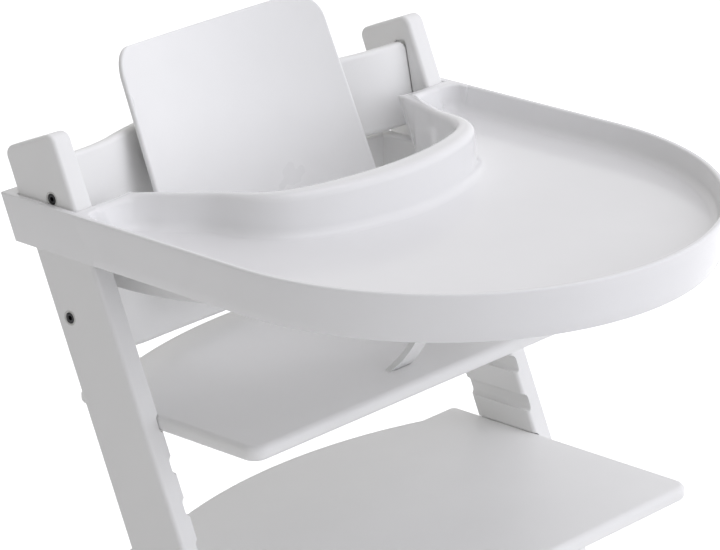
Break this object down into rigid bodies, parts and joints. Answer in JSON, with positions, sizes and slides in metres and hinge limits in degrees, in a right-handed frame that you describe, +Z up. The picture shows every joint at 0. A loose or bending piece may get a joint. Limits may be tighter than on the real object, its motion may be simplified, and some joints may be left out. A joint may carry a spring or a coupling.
{
  "type": "baby high chair",
  "caption": "Adjustable wooden high chair with grooved leaning sides, sliding seat and footplate, baby back, rail and large rimmed tray.",
  "frame": {"origin": "on the floor, at the middle of the overall footprint (tray front to runner heels, and left to right)", "axes": "+Z up, -Y the way the chair faces, +X across the chair, towards the side frame called right"},
  "size_m": [0.48, 0.6146, 0.8256],
  "materials": {
    "lacquered_wood": "white lacquered beech, satin",
    "lacquered_board": "white lacquered bent plywood, satin",
    "moulded_white": "moulded polypropylene, semi gloss",
    "rail_white": "moulded plastic, satin",
    "black_bolt": "blackened steel",
    "bolt_ring": "moulded plastic",
    "steel": "zinc plated",
    "crossbar_steel": "white powder coat",
    "glide_plastic": "moulded plastic",
    "dowel_wood": "bare beech"
  },
  "bodies": {
    "chair_frame": {"right_upright": "lacquered_wood", "left_upright": "lacquered_wood", "right_floor_runner": "lacquered_wood", "left_floor_runner": "lacquered_wood", "floor_crosspiece": "lacquered_wood", "crosspiece_dowels": "dowel_wood", "crosspiece_inserts": "steel", "crosspiece_bolts": "black_bolt", "upper_crossbar": "crossbar_steel", "lower_crossbar": "crossbar_steel", "crossbar_bolts": "black_bolt", "upper_back_board": "lacquered_board", "lower_back_board": "lacquered_board", "board_inserts": "steel", "back_board_bolts": "black_bolt", "bolt_rings": "bolt_ring", "front_glides": "glide_plastic", "rear_glides": "glide_plastic"},
    "seat": {"seat_plate": "lacquered_board", "baby_rail": "rail_white", "crotch_tongue": "rail_white", "tongue_latch": "rail_white"},
    "footplate": {"foot_plate": "lacquered_board"},
    "baby_backrest": {"baby_back": "moulded_white", "back_hook": "rail_white"},
    "tray": {"tray": "moulded_white", "tray_clips": "moulded_white"}
  },
  "joints": [
    {"name": "seat_slide", "type": "slide", "parent": "chair_frame", "child": "seat", "axis": [0, -1, 0], "range_m": [0, 0.05]},
    {"name": "footplate_slide", "type": "slide", "parent": "chair_frame", "child": "footplate", "axis": [0, -1, 0], "range_m": [-0.03, 0.06]},
    {"name": "backrest_lift", "type": "slide", "parent": "chair_frame", "child": "baby_backrest", "axis": [0, 0.1961, 0.9806], "range_m": [0, 0.05]},
    {"name": "tray_lift", "type": "slide", "parent": "chair_frame", "child": "tray", "axis": [0, 0.3907, 0.9205], "range_m": [0, 0.12]}
  ]
}
